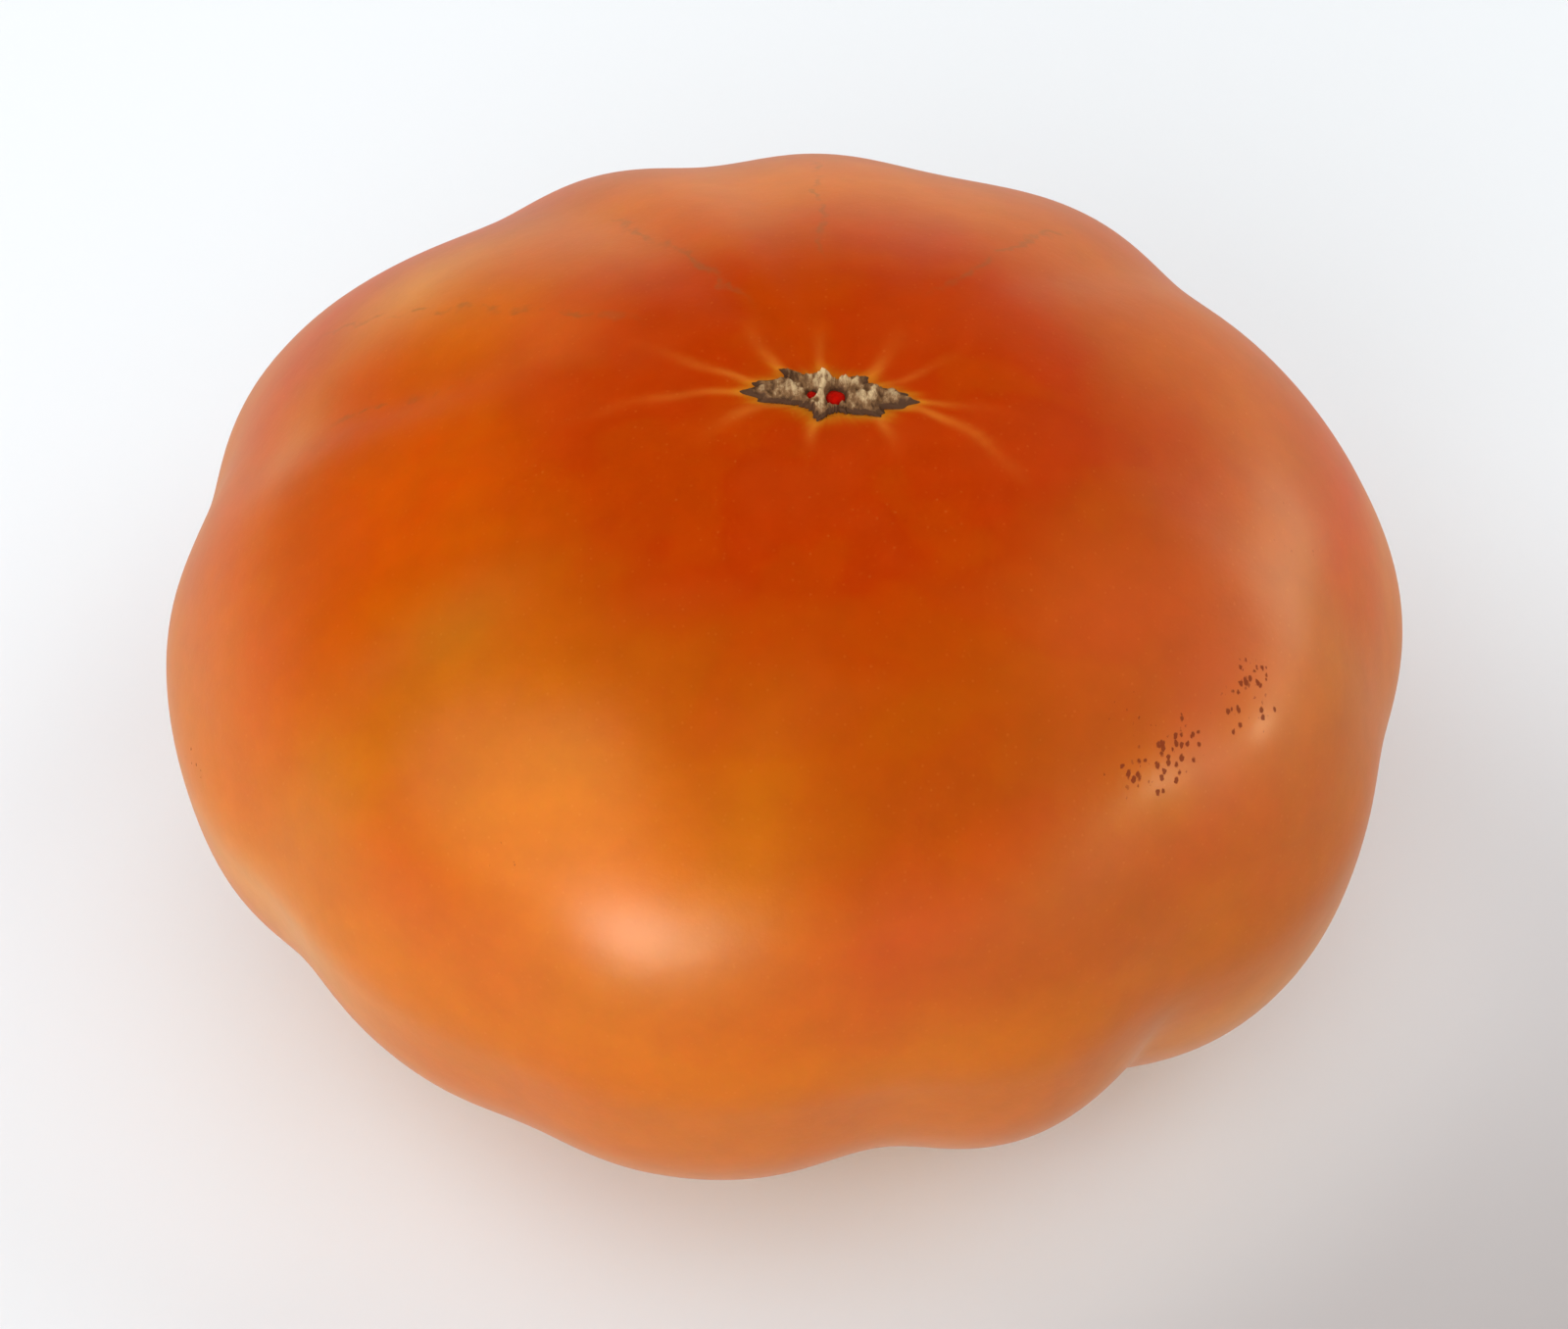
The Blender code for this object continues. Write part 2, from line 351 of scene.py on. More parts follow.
SKIN_COLOURS = {
    "crown": ("Top", "The ripest skin, round the blossom scar", "#AC3200"),
    "red": ("Red", "Ripe skin below the crown", "#AC4602"),
    "orange": ("Orange", "Skin on the upper sides", "#C84A00"),
    "amber": ("Amber", "Skin on the widest part of the ribs", "#D26C02"),
    "gold": ("Gold", "Streaks that ripened late, yellow and a little green", "#C06800"),
    "straw": ("Straw", "Pale skin at the shoulders and along the furrows", "#E09444"),
    "blush": ("Blush", "Pinkish skin on the sunny side", "#C24E1A"),
    # Honey is partly yellower skin and partly painted highlight tint, laid under the highlights
    "honey_and_highlight_tint": ("Honey", "Skin that stayed yellower", "#C47C04"),
    # Tan is a duller colour that darkens the skin as painted shade on the side away from the window
    "tan": ("Tan", "Duller skin on the side away from the window", "#B85C06"),
    "green": ("Green", "Skin in the stem cavity", "#A08A30"),
}


def turned(angle):
    """The angle brought into half a turn either way, radians."""
    return (angle + np.pi) % (2 * np.pi) - np.pi


def eased(share):
    """Runs from 0 to 1 with no corner at either end."""
    share = np.clip(share, 0, 1)
    return share * share * (3 - 2 * share)


def latitude_at(radius, power):
    """The latitude, above the equator, where the plan radius is this share of the widest."""
    return np.arctan2((1 - radius**power) ** (1 / power), radius)


def rib_relief(azimuth, latitude):
    """How far the skin stands off the plain form: out where a rib is full, in along a furrow."""
    full = 1 / (1 + np.exp((np.degrees(latitude) - RIB_FADE_LATITUDE) / RIB_FADE_SPREAD))
    relief = np.zeros(np.shape(azimuth))
    rounding = np.zeros(np.shape(azimuth))
    for index, (start, depth, half_width, fullness) in enumerate(RIBS):
        across = turned(azimuth - np.radians(start)) / np.radians(half_width)
        relief -= depth * full / (1 + across**2)
        span = np.radians((RIBS[(index + 1) % len(RIBS)][0] - start) % 360)
        off_crest = np.abs(turned(azimuth - np.radians(start) - span / 2)) / (span / 2)
        crest = np.cos(np.clip(off_crest, 0, 1) * np.pi / 2)
        rounding += crest
        standing = FULLNESS_ON_CROWN + (1 - FULLNESS_ON_CROWN) * full
        relief += fullness * standing * crest**2 * np.cos(latitude)
    begin, end = SHOULDER_LATITUDES
    shoulder = eased((begin - np.degrees(latitude)) / (begin - end))
    level = SHOULDER_SINK + SHOULDER_FURROW_DEPTH * (1 - rounding)
    return (1 - shoulder) * relief - shoulder * level


def scar_edge(azimuth):
    """The distance from the middle of the blossom scar to its ragged edge."""
    places, reaches = zip(*SCAR_EDGE)
    reach = np.interp(np.degrees(turned(azimuth)), places, reaches, period=360)
    return reach * (1 + 0.03 * np.sin(23 * azimuth + 1) + 0.03 * np.sin(41 * azimuth))


def dimple(x, y):
    """How far the skin stands off the form at x and y from the pole, in the shallow dimple round it."""
    return -DIMPLE_DEPTH * np.exp(-((np.hypot(x, y) / DIMPLE_RADIUS) ** 2))


def from_scar(x, y):
    """The azimuth and distance of a place, as seen from the middle of the scar."""
    east, north = x - SCAR_MIDDLE[0], y - SCAR_MIDDLE[1]
    return np.arctan2(north, east), np.hypot(east, north)


def dimple_under_cork(x, y):
    """The dimple as the skin has it, which sinks out of sight under the cork."""
    azimuth, distance = from_scar(x, y)
    return dimple(x, y) - UNDER_SCAR_DIP * eased((0.9 - distance / scar_edge(azimuth)) / 0.3)


def cork_relief(x, y):
    """How far the corky scar stands off the form, at x and y from the pole."""
    azimuth, distance = from_scar(x, y)
    cork = eased((CORK_END - distance / scar_edge(azimuth)) / CORK_BEVEL)
    east, north = x - SCAR_MIDDLE[0], y - SCAR_MIDDLE[1]
    relief = CORK_THICKNESS * cork
    for wart_x, wart_y, size, height in WARTS:
        off = ((east - wart_x) ** 2 + (north - wart_y) ** 2) / size**2
        relief += height * cork * np.exp(-(off**1.5))
    for pit_x, pit_y, size, depth in PITS:
        off = ((east - pit_x) ** 2 + (north - pit_y) ** 2) / size**2
        relief -= depth * cork * np.exp(-(off**2))
    return dimple(x, y) + relief


def scar_place(share, turn):
    """The x and y from the pole of a place a share of the way from the scar's middle to its edge."""
    reach = share * scar_edge(turn)
    return SCAR_MIDDLE[0] + reach * np.cos(turn), SCAR_MIDDLE[1] + reach * np.sin(turn)


def on_crown(x, y):
    """The azimuth and latitude of a place above the equator, from its x and y."""
    return np.arctan2(y, x), latitude_at(np.hypot(x, y) / HALF_WIDTH, CROWN_POWER)


def skin(azimuth, latitude, crown_relief=dimple, lift=0.0):
    """Points of the surface as an array of x, y and z, with the equator at z = 0, raised by the lift."""
    crown = latitude > 0
    share = eased((EQUATOR_BLEND - np.degrees(latitude)) / (2 * EQUATOR_BLEND))
    power = CROWN_POWER + (BASE_POWER - CROWN_POWER) * share
    height = CROWN_HEIGHT + (BASE_HEIGHT - CROWN_HEIGHT) * share
    cosine, sine = np.cos(latitude), np.sin(latitude)
    stretch = (np.abs(cosine) ** power + np.abs(sine) ** power) ** (-1 / power)
    radius, rise = cosine * stretch, sine * stretch
    east, north = np.cos(azimuth), np.sin(azimuth)

    slope = np.abs(radius) ** (power - 1)
    normal = np.stack(
        [
            slope * east / HALF_WIDTH,
            slope * north / HALF_DEPTH,
            np.sign(rise) * np.abs(rise) ** (power - 1) / height,
        ],
        axis=-1,
    )
    normal /= np.linalg.norm(normal, axis=-1, keepdims=True)

    x, y, z = HALF_WIDTH * radius * east, HALF_DEPTH * radius * north, height * rise
    relief = rib_relief(azimuth, latitude)
    relief = relief * np.where(crown, 1, eased(np.hypot(x, y) / FURROW_END_RADIUS))
    relief = relief + np.where(crown, crown_relief(x, y), 0) + lift
    z = z + np.where(crown, 0, CAVITY_DEPTH * np.clip(1 - (np.hypot(x, y) / CAVITY_RADIUS) ** 2, 0, 1) ** 2)
    lean = eased(latitude / (np.pi / 2))
    points = np.stack([x + CROWN_LEAN[0] * lean, y + CROWN_LEAN[1] * lean, z], axis=-1)
    return points + normal * relief[..., None]


def near(azimuth, latitude, place, half_width, half_height):
    """A soft spot on the fruit: 1 at its middle, falling off in both directions."""
    across = np.degrees(turned(azimuth - np.radians(place[0]))) / half_width
    along = (np.degrees(latitude) - place[1]) / half_height
    return np.exp(-(across**2) - along**2)


def fine_relief(azimuth, latitude):
    """The small swellings, the folds and the crease that the part leaves out."""
    relief = np.zeros(np.shape(azimuth))
    for place_azimuth, place_latitude, size, height in SWELLINGS:
        half_height = np.degrees(size / HALF_WIDTH)
        half_width = half_height / np.cos(np.radians(place_latitude))
        relief += height * near(azimuth, latitude, (place_azimuth, place_latitude), half_width, half_height)
    for place_azimuth, low, high, half_width, depth in FOLDS:
        across = np.degrees(turned(azimuth - np.radians(place_azimuth))) / half_width
        along = np.abs(np.degrees(latitude) - (low + high) / 2) / ((high - low) / 2)
        relief -= depth * np.exp(-(across**2)) * eased(1.4 - along)
    begin, full = CREASE_LATITUDES
    share = eased((begin - np.degrees(latitude)) / (begin - full))
    share = share * eased((np.degrees(latitude) - CREASE_END) / CREASE_END_SPREAD)
    across = np.abs(np.degrees(turned(azimuth - np.radians(CREASE_AZIMUTH)))) / CREASE_HALF_WIDTH
    return relief - CREASE_DEPTH * share * np.exp(-(across**1.3))


def one_turn(count):
    """Evenly spaced angles round a full turn, radians."""
    return np.arange(count) * 2 * np.pi / count


def skin_places():
    """The azimuth and latitude of every vertex of the fine skin, ring by ring from the blossom end."""
    azimuth = one_turn(TURN)
    highest = latitude_at(RIM_RADIUS / HALF_WIDTH, CROWN_POWER)
    lowest = -latitude_at(SHOULDER_RADIUS / HALF_WIDTH, BASE_POWER)
    top = latitude_at(np.linspace(INNERMOST_RADIUS, RIM_RADIUS, PIT_TO_RIM_ROWS) / HALF_WIDTH, CROWN_POWER)
    crown = np.linspace(highest, 0, CROWN_ROWS + 1)[1:]
    base = np.linspace(0, lowest, BASE_ROWS + 1)[1:]
    radii = np.linspace(SHOULDER_RADIUS, INNERMOST_RADIUS, CAVITY_ROWS + 1)[1:]
    cavity = -latitude_at(radii / HALF_WIDTH, BASE_POWER)
    return np.meshgrid(np.concatenate([top, crown, base, cavity]), azimuth, indexing="ij")[::-1]


def settling(points):
    """The shift that stands the fruit on z = 0 with its box's middle over the origin."""
    floor = points[..., 2].min() + SETTLE
    pressed = np.maximum(points, [-np.inf, -np.inf, floor])
    corners = pressed.reshape(-1, 3)
    middle = (corners.min(axis=0) + corners.max(axis=0)) / 2
    return np.array([middle[0], middle[1], floor])


def closed_mesh(name, rings):
    """A closed mesh through rings of equal counts, from the top to the bottom, in millimetres."""
    rows, count = rings.shape[:2]
    index = np.arange(rows * count).reshape(rows, count)
    turn = np.roll(index, -1, axis=1)
    quads = np.stack([index[:-1], index[1:], turn[1:], turn[:-1]], axis=-1).reshape(-1, 4)
    faces = quads.tolist() + [index[0].tolist(), index[-1][::-1].tolist()]
    data = bpy.data.meshes.new(name)
    data.from_pydata((rings.reshape(-1, 3) * MM).tolist(), [], faces)
    data.shade_smooth()
    return data


def store(data, name, values):
    """Keeps one number, or one colour, for each vertex under this name."""
    kind, field = ("FLOAT", "value") if values.ndim == 1 else ("FLOAT_COLOR", "color")
    data.attributes.new(name, kind, "POINT").data.foreach_set(field, values.astype(np.float32).ravel())


def put(name, data, material):
    """A piece of the fruit that rides with it."""
    data.materials.append(material)
    piece = bpy.data.objects.new(name, data)
    bpy.context.scene.collection.objects.link(piece)
    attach(piece, "root")
    return piece


def rough_noise(points, grain, octaves=3):
    """Fractal noise at points in millimetres, its coarsest lumps this many millimetres apart."""
    flat = points.reshape(-1, 3) / grain
    values = [noise.fractal(Vector(point), 0.7, 2.0, octaves) for point in flat.tolist()]
    return np.array(values).reshape(points.shape[:-1])


def add(tree, kind, inputs=None, **settings):
    """Adds a node with its settings. An input is a value or another node's output."""
    made = tree.nodes.new(kind)
    for name, value in settings.items():
        setattr(made, name, value)
    for socket, value in (inputs or {}).items():
        if isinstance(value, bpy.types.NodeSocket):
            tree.links.new(value, made.inputs[socket])
        else:
            made.inputs[socket].default_value = value
    return made


def empty_material(name):
    material = bpy.data.materials.new(name)
    material.use_nodes = True
    material.node_tree.nodes.clear()
    return material, material.node_tree


def skin_colour(azimuth, latitude, points, looks):
    """The skin's colour at each vertex, from how ripe it is there."""
    palette = {name: np.array(getattr(looks, name)) for name in SKIN_COLOURS}
    drift = RIPENESS_DRIFT * rough_noise(points, RIPENESS_DRIFT_GRAIN)
    degrees = np.degrees(latitude) + drift
    bands = sorted(SKIN_BANDS)
    levels = [level for level, _ in bands]
    channels = [np.interp(degrees, levels, [palette[name][i] for _, name in bands]) for i in range(4)]
    colour = np.stack(channels, axis=-1)
    for place_azimuth, place_latitude, half_width, half_height, name, strength in PATCHES:
        place = (place_azimuth, place_latitude)
        share = near(azimuth, latitude + np.radians(drift) * 0.4, place, half_width, half_height)
        share = np.clip(strength * share, 0, 1)[..., None]
        colour = colour * (1 - share) + palette[name] * share
    # A cloud is at most a tenth of the way to ruddy, or a twentieth to yellow
    cloud = np.clip(rough_noise(points + 40.0, CLOUD_GRAIN) * 0.2, -0.05, 0.1)[..., None]
    ruddy = colour * (1 - cloud) + palette["blush"] * cloud
    yellow = colour * (1 + cloud) - palette["honey_and_highlight_tint"] * cloud
    return np.where(cloud > 0, ruddy, yellow)


def vein_strength(azimuth, latitude):
    """How strongly the pale lines, and the halo round the blossom scar, show."""
    cosine, sine = np.abs(np.cos(latitude)), np.abs(np.sin(latitude))
    radius = HALF_WIDTH * cosine * (cosine**CROWN_POWER + sine**CROWN_POWER) ** (-1 / CROWN_POWER)
    turn, distance = from_scar(radius * np.cos(azimuth), radius * np.sin(azimuth))
    veins = np.zeros(np.shape(azimuth))
    for start, begin, end, faded, width, strength in VEINS:
        share = np.clip((distance - begin) / (faded - begin), 0, 1.5)
        # The line wavers a little, widens outwards and fades unevenly
        course = np.radians(start + (end - start) * share) + 0.012 * np.sin(distance / 0.8 + start)
        off = np.clip(turned(turn - course), -np.pi / 2, np.pi / 2)
        across = distance * np.sin(off) / (width * (0.8 + share))
        uneven = 0.85 + 0.15 * np.sin(distance * 1.7 + start)
        fade = uneven * np.exp(-((share / 0.65) ** 2))
        veins = np.maximum(veins, strength * fade * np.exp(-(across**2)))
    beyond = np.maximum(distance - scar_edge(turn), 0)
    halo = HALO_STRENGTH * np.exp(-((beyond / HALO_WIDTH) ** 2))
    on_top = np.where(latitude > 0, 1, 0)
    return np.clip(veins, 0, 1) * on_top, halo * on_top


def dry_line_places(azimuth, latitude):
    """Where the dry lines along the furrows may show: 1 along the middle of each, 0 far from all."""
    share = np.zeros(np.shape(azimuth))
    for place, low, high in DRY_LINES:
        across = np.degrees(turned(azimuth - np.radians(place))) / DRY_LINE_REACH
        along = (np.degrees(latitude) - (low + high) / 2) / ((high - low) / 2)
        share = np.maximum(share, np.exp(-(across**2)) * eased((1.25 - np.abs(along)) / 0.5))
    return share


def dry_lines(tree, place, pole, share):
    """How strongly the dry lines show at a place: broken threads that wander along rays from the pole."""
    bends = {"Vector": place, "Scale": DRY_LINE_BENDS, "Detail": 3.0}
    wander = add(tree, "ShaderNodeTexNoise", bends).outputs["Fac"]
    from_pole = add(tree, "ShaderNodeVectorMath", {0: place, 1: pole}, operation="SUBTRACT").outputs[0]
    nearest = None
    for azimuth, _, _ in DRY_LINES:
        across = (-np.sin(np.radians(azimuth)), np.cos(np.radians(azimuth)), 0.0)
        off = add(tree, "ShaderNodeVectorMath", {0: from_pole, 1: across}, operation="DOT_PRODUCT")
        # The noise has its middle at 0.5, so the line wanders 1.5 mm to either side
        moved = add(
            tree, "ShaderNodeMath", {0: wander, 1: -0.003, 2: off.outputs["Value"]}, operation="MULTIPLY_ADD"
        )
        centred = add(tree, "ShaderNodeMath", {0: moved.outputs[0], 1: 0.0015}, operation="ADD")
        distance = add(tree, "ShaderNodeMath", {0: centred.outputs[0]}, operation="ABSOLUTE").outputs[0]
        if nearest is not None:
            distance = add(
                tree, "ShaderNodeMath", {0: nearest, 1: distance}, operation="MINIMUM"
            ).outputs[0]
        nearest = distance
    thread = add(tree, "ShaderNodeMapRange", {"Value": nearest, 1: 0.0001, 2: 0.00035, 3: 1.0, 4: 0.0})
    gaps = add(tree, "ShaderNodeTexNoise", {"Vector": place, "Scale": DRY_LINE_GAPS, "Detail": 2.0})
    broken = add(
        tree,
        "ShaderNodeMapRange",
        {"Value": gaps.outputs["Fac"], 1: 0.42, 2: 0.6, 3: 0.0, 4: DRY_LINE_STRENGTH},
    )
    seen = add(
        tree, "ShaderNodeMath", {0: thread.outputs[0], 1: broken.outputs[0]}, operation="MULTIPLY"
    )
    return add(tree, "ShaderNodeMath", {0: seen.outputs[0], 1: share}, operation="MULTIPLY").outputs[0]


def ripe_skin(looks, pole):
    """Tomato skin, a thin waxy film over wet flesh: softly glossy, and light sinks into it a little."""
    material, tree = empty_material("ripe_tomato_skin")
    place = add(tree, "ShaderNodeTexCoord").outputs["Object"]
    ripeness = add(tree, "ShaderNodeAttribute", attribute_name="ripeness").outputs["Color"]
    veins = add(tree, "ShaderNodeAttribute", attribute_name="veins").outputs["Fac"]
    halo = add(tree, "ShaderNodeAttribute", attribute_name="halo").outputs["Fac"]
    freckled = add(tree, "ShaderNodeAttribute", attribute_name="freckled").outputs["Fac"]

    # Cells of the flesh show through as a mottle
    mottle = add(
        tree, "ShaderNodeTexNoise", {"Vector": place, "Scale": MOTTLE, "Detail": 4.0, "Roughness": 0.6}
    )
    lighten = add(
        tree,
        "ShaderNodeMapRange",
        {"Value": mottle.outputs["Fac"], 1: 0.3, 2: 0.7, 3: 0.95, 4: 1.05},
    )
    mottled = add(
        tree, "ShaderNodeHueSaturation", {"Value": lighten.outputs["Result"], "Color": ripeness}
    ).outputs["Color"]

    # Pale pores, each as strong as chance has it
    pores = add(tree, "ShaderNodeTexVoronoi", {"Vector": place, "Scale": PORES, "Randomness": 1.0})
    chance = add(tree, "ShaderNodeSeparateColor", {0: pores.outputs["Color"]}).outputs["Red"]
    strength = add(tree, "ShaderNodeMapRange", {"Value": chance, 1: 0.3, 2: 1.0, 3: 0.0, 4: 0.1})
    spot = add(
        tree,
        "ShaderNodeMapRange",
        {"Value": pores.outputs["Distance"], 1: 0.08, 2: 0.24, 3: 1.0, 4: 0.0},
    )
    pore = add(
        tree, "ShaderNodeMath", {0: spot.outputs[0], 1: strength.outputs[0]}, operation="MULTIPLY"
    )
    with_pores = add(
        tree, "ShaderNodeMix", {0: pore.outputs[0], 6: mottled, 7: tuple(looks.pore)}, data_type="RGBA"
    ).outputs[2]

    with_halo = add(
        tree, "ShaderNodeMix", {0: halo, 6: with_pores, 7: tuple(looks.halo)}, data_type="RGBA"
    ).outputs[2]
    with_veins = add(
        tree, "ShaderNodeMix", {0: veins, 6: with_halo, 7: tuple(looks.vein)}, data_type="RGBA"
    ).outputs[2]

    dry = add(tree, "ShaderNodeAttribute", attribute_name="dry").outputs["Fac"]
    with_lines = add(
        tree,
        "ShaderNodeMix",
        {0: dry_lines(tree, place, pole, dry), 6: with_veins, 7: tuple(looks.dry_line)},
        data_type="RGBA",
    ).outputs[2]

    # Freckles of 0.1 to 0.4 mm with ragged edges, in clusters. They are dry, so they are matt
    ragged = add(tree, "ShaderNodeTexNoise", {"Vector": place, "Scale": FRECKLE_EDGES, "Detail": 2.0})
    wander = add(
        tree, "ShaderNodeVectorMath", {0: ragged.outputs["Color"], 1: (0.00024,) * 3}, operation="MULTIPLY"
    )
    moved = add(tree, "ShaderNodeVectorMath", {0: place, 1: wander.outputs[0]}, operation="ADD").outputs[0]
    drawn = add(
        tree, "ShaderNodeVectorMath", {0: moved, 1: (1.0, 0.7, 0.7)}, operation="MULTIPLY"
    ).outputs[0]
    dots = add(tree, "ShaderNodeTexVoronoi", {"Vector": drawn, "Scale": FRECKLES_APART, "Randomness": 1.0})
    lot = add(tree, "ShaderNodeSeparateColor", {0: dots.outputs["Color"]})
    clumps = add(tree, "ShaderNodeTexNoise", {"Vector": place, "Scale": FRECKLE_CLUMPS, "Detail": 2.0})
    clump = add(tree, "ShaderNodeMapRange", {"Value": clumps.outputs["Fac"], 1: 0.27, 2: 0.46})
    crowd = add(
        tree, "ShaderNodeMath", {0: freckled, 1: clump.outputs["Result"]}, operation="MULTIPLY"
    ).outputs[0]
    luck = add(tree, "ShaderNodeMath", {0: crowd, 1: lot.outputs["Red"]}, operation="MULTIPLY").outputs[0]
    reach = add(tree, "ShaderNodeMapRange", {"Value": luck, 1: 0.17, 2: 0.9, 3: 0.0, 4: 0.52})
    inside = add(
        tree,
        "ShaderNodeMath",
        {0: reach.outputs["Result"], 1: dots.outputs["Distance"]},
        operation="SUBTRACT",
    ).outputs["Value"]
    freckle = add(tree, "ShaderNodeMapRange", {"Value": inside, 1: 0.0, 2: 0.14, 3: 0.0, 4: 0.88})
    roughness = add(tree, "ShaderNodeMapRange", {"Value": inside, 1: 0.0, 2: 0.14, 3: 0.33, 4: 0.8})
    coloured = add(
        tree,
        "ShaderNodeMix",
        {0: freckle.outputs["Result"], 6: with_lines, 7: tuple(looks.freckle)},
        data_type="RGBA",
    ).outputs[2]

    # The skin is not quite even: it has faint dents, and a grain that breaks up the highlights
    dents = add(tree, "ShaderNodeTexNoise", {"Vector": place, "Scale": SKIN_DENTS, "Detail": 2.0})
    dented = add(
        tree, "ShaderNodeBump", {"Height": dents.outputs["Fac"], "Strength": 0.35, "Distance": 0.00012}
    ).outputs["Normal"]
    grain = add(tree, "ShaderNodeTexNoise", {"Vector": place, "Scale": SKIN_GRAIN, "Detail": 2.0})
    normal = add(
        tree,
        "ShaderNodeBump",
        {"Height": grain.outputs["Fac"], "Strength": 0.3, "Distance": 0.00003, "Normal": dented},
    ).outputs["Normal"]
    shader = add(
        tree,
        "ShaderNodeBsdfPrincipled",
        {
            "Base Color": coloured,
            "Roughness": roughness.outputs["Result"],
            "IOR": 1.4,
            "Normal": normal,
            "Subsurface Weight": 0.35,
            "Subsurface Radius": (1.0, 0.35, 0.12),
            "Subsurface Scale": 0.003,
            "Coat Weight": 0.05,
            "Coat Roughness": 0.22,
        },
    )
    add(tree, "ShaderNodeOutputMaterial", {"Surface": shader.outputs["BSDF"]})
    return material


def cork(name, looks, grain, stretch=(1.0, 1.0, 1.0)):
    """Cork that healed over a scar, dry and crumbly: matt, with pale crumbs on a darker ground.

    The grain is the size of its crumbs, which the stretch draws out along some of the axes.
    """
    material, tree = empty_material(name)
    place = add(tree, "ShaderNodeTexCoord").outputs["Object"]
    # The crumbs attribute holds the crumbs' height, and for the blossom scar also a painted shadow along its
    # sunk edge
    height = add(tree, "ShaderNodeAttribute", attribute_name="crumbs").outputs["Fac"]
    drawn = add(tree, "ShaderNodeVectorMath", {0: place, 1: stretch}, operation="MULTIPLY").outputs[0]
    crumbs = add(
        tree,
        "ShaderNodeTexNoise",
        {"Vector": drawn, "Scale": 1 / (grain * MM), "Detail": 6.0, "Roughness": 0.75},
    )
    contrast = add(tree, "ShaderNodeMapRange", {"Value": crumbs.outputs["Fac"], 1: 0.3, 2: 0.7})
    mixed = add(
        tree, "ShaderNodeMath", {0: height, 1: contrast.outputs["Result"]}, operation="ADD"
    ).outputs["Value"]
    share = add(tree, "ShaderNodeMapRange", {"Value": mixed, 1: 0.1, 2: 1.3}).outputs["Result"]
    ramp = add(tree, "ShaderNodeValToRGB", {"Fac": share})
    stops = ramp.color_ramp.elements
    # The dark end also gives the painted shadow along the blossom scar's edge
    stops[0].color = looks.cork_dark_and_shadow
    stops[1].color = looks.cork_pale
    middle = stops.new(0.45)
    middle.color = looks.cork
    normal = add(
        tree, "ShaderNodeBump", {"Height": crumbs.outputs["Fac"], "Strength": 0.8, "Distance": 0.0002}
    ).outputs["Normal"]
    shader = add(
        tree,
        "ShaderNodeBsdfPrincipled",
        {"Base Color": ramp.outputs["Color"], "Roughness": 0.85, "Normal": normal},
    )
    add(tree, "ShaderNodeOutputMaterial", {"Surface": shader.outputs["BSDF"]})
    return material


def wet_flesh(looks):
    """Bare tomato flesh, wet: a deep red that shines sharply."""
    material, tree = empty_material("wet_tomato_flesh")
    place = add(tree, "ShaderNodeTexCoord").outputs["Object"]
    cells = add(tree, "ShaderNodeTexNoise", {"Vector": place, "Scale": FLESH_CELLS, "Detail": 3.0})
    tint = add(
        tree,
        "ShaderNodeMix",
        {0: cells.outputs["Fac"], 6: tuple(looks.flesh_dark), 7: tuple(looks.flesh)},
        data_type="RGBA",
    ).outputs[2]
    shader = add(
        tree,
        "ShaderNodeBsdfPrincipled",
        {
            "Base Color": tint,
            "Roughness": 0.12,
            "IOR": 1.36,
            "Subsurface Weight": 0.3,
            "Subsurface Radius": (1.0, 0.3, 0.15),
            "Subsurface Scale": 0.0008,
        },
    )
    add(tree, "ShaderNodeOutputMaterial", {"Surface": shader.outputs["BSDF"]})
    return material


def matt_paper(studio):
    """Matt paper, which scatters light evenly: pale, with a faint grain of fibres and hardly any shine."""
    material, tree = empty_material("matt_paper")
    place = add(tree, "ShaderNodeTexCoord").outputs["Object"]
    fibres = add(tree, "ShaderNodeTexNoise", {"Vector": place, "Scale": PAPER_FIBRES, "Detail": 3.0})
    normal = add(
        tree, "ShaderNodeBump", {"Height": fibres.outputs["Fac"], "Strength": 0.05, "Distance": 0.0001}
    ).outputs["Normal"]
    # Painted shade: the paper is coloured greyer towards the right, away from the window, where less light
    # falls
    along = add(
        tree, "ShaderNodeVectorMath", {0: place, 1: (0.6, -0.8, 0.0)}, operation="DOT_PRODUCT"
    ).outputs["Value"]
    share = add(
        tree, "ShaderNodeMapRange", {"Value": along, 1: 0.0, 2: 0.09}, interpolation_type="SMOOTHSTEP"
    ).outputs["Result"]
    paper = add(
        tree,
        "ShaderNodeMix",
        {0: share, 6: tuple(studio.floor), 7: tuple(studio.floor_painted_shade)},
        data_type="RGBA",
    ).outputs[2]
    # The painted shade fades out again further off
    out = add(tree, "ShaderNodeVectorMath", {0: place}, operation="LENGTH").outputs["Value"]
    beyond = add(tree, "ShaderNodeMapRange", {"Value": out, 1: 0.1, 2: 0.4, 3: 0.0, 4: 0.8})
    paper = add(
        tree,
        "ShaderNodeMix",
        {0: beyond.outputs["Result"], 6: paper, 7: tuple(studio.floor)},
        data_type="RGBA",
    ).outputs[2]
    # Painted light: the paper is coloured brighter and a little cyan near the fruit, lightening the fruit's
    # shadow and the red it throws there
    painted_light_share = add(
        tree,
        "ShaderNodeMapRange",
        {"Value": out, 1: 0.02, 2: 0.062, 3: 1.0, 4: 0.0},
        interpolation_type="SMOOTHSTEP",
    ).outputs["Result"]
    paper = add(
        tree, "ShaderNodeMix", {0: painted_light_share, 6: paper, 7: tuple(studio.floor_painted_light)}, data_type="RGBA"
    ).outputs[2]
    shader = add(
        tree,
        "ShaderNodeBsdfPrincipled",
        {"Base Color": paper, "Roughness": 0.9, "Specular IOR Level": 0.1, "Normal": normal},
    )
    add(tree, "ShaderNodeOutputMaterial", {"Surface": shader.outputs["BSDF"]})
    return material


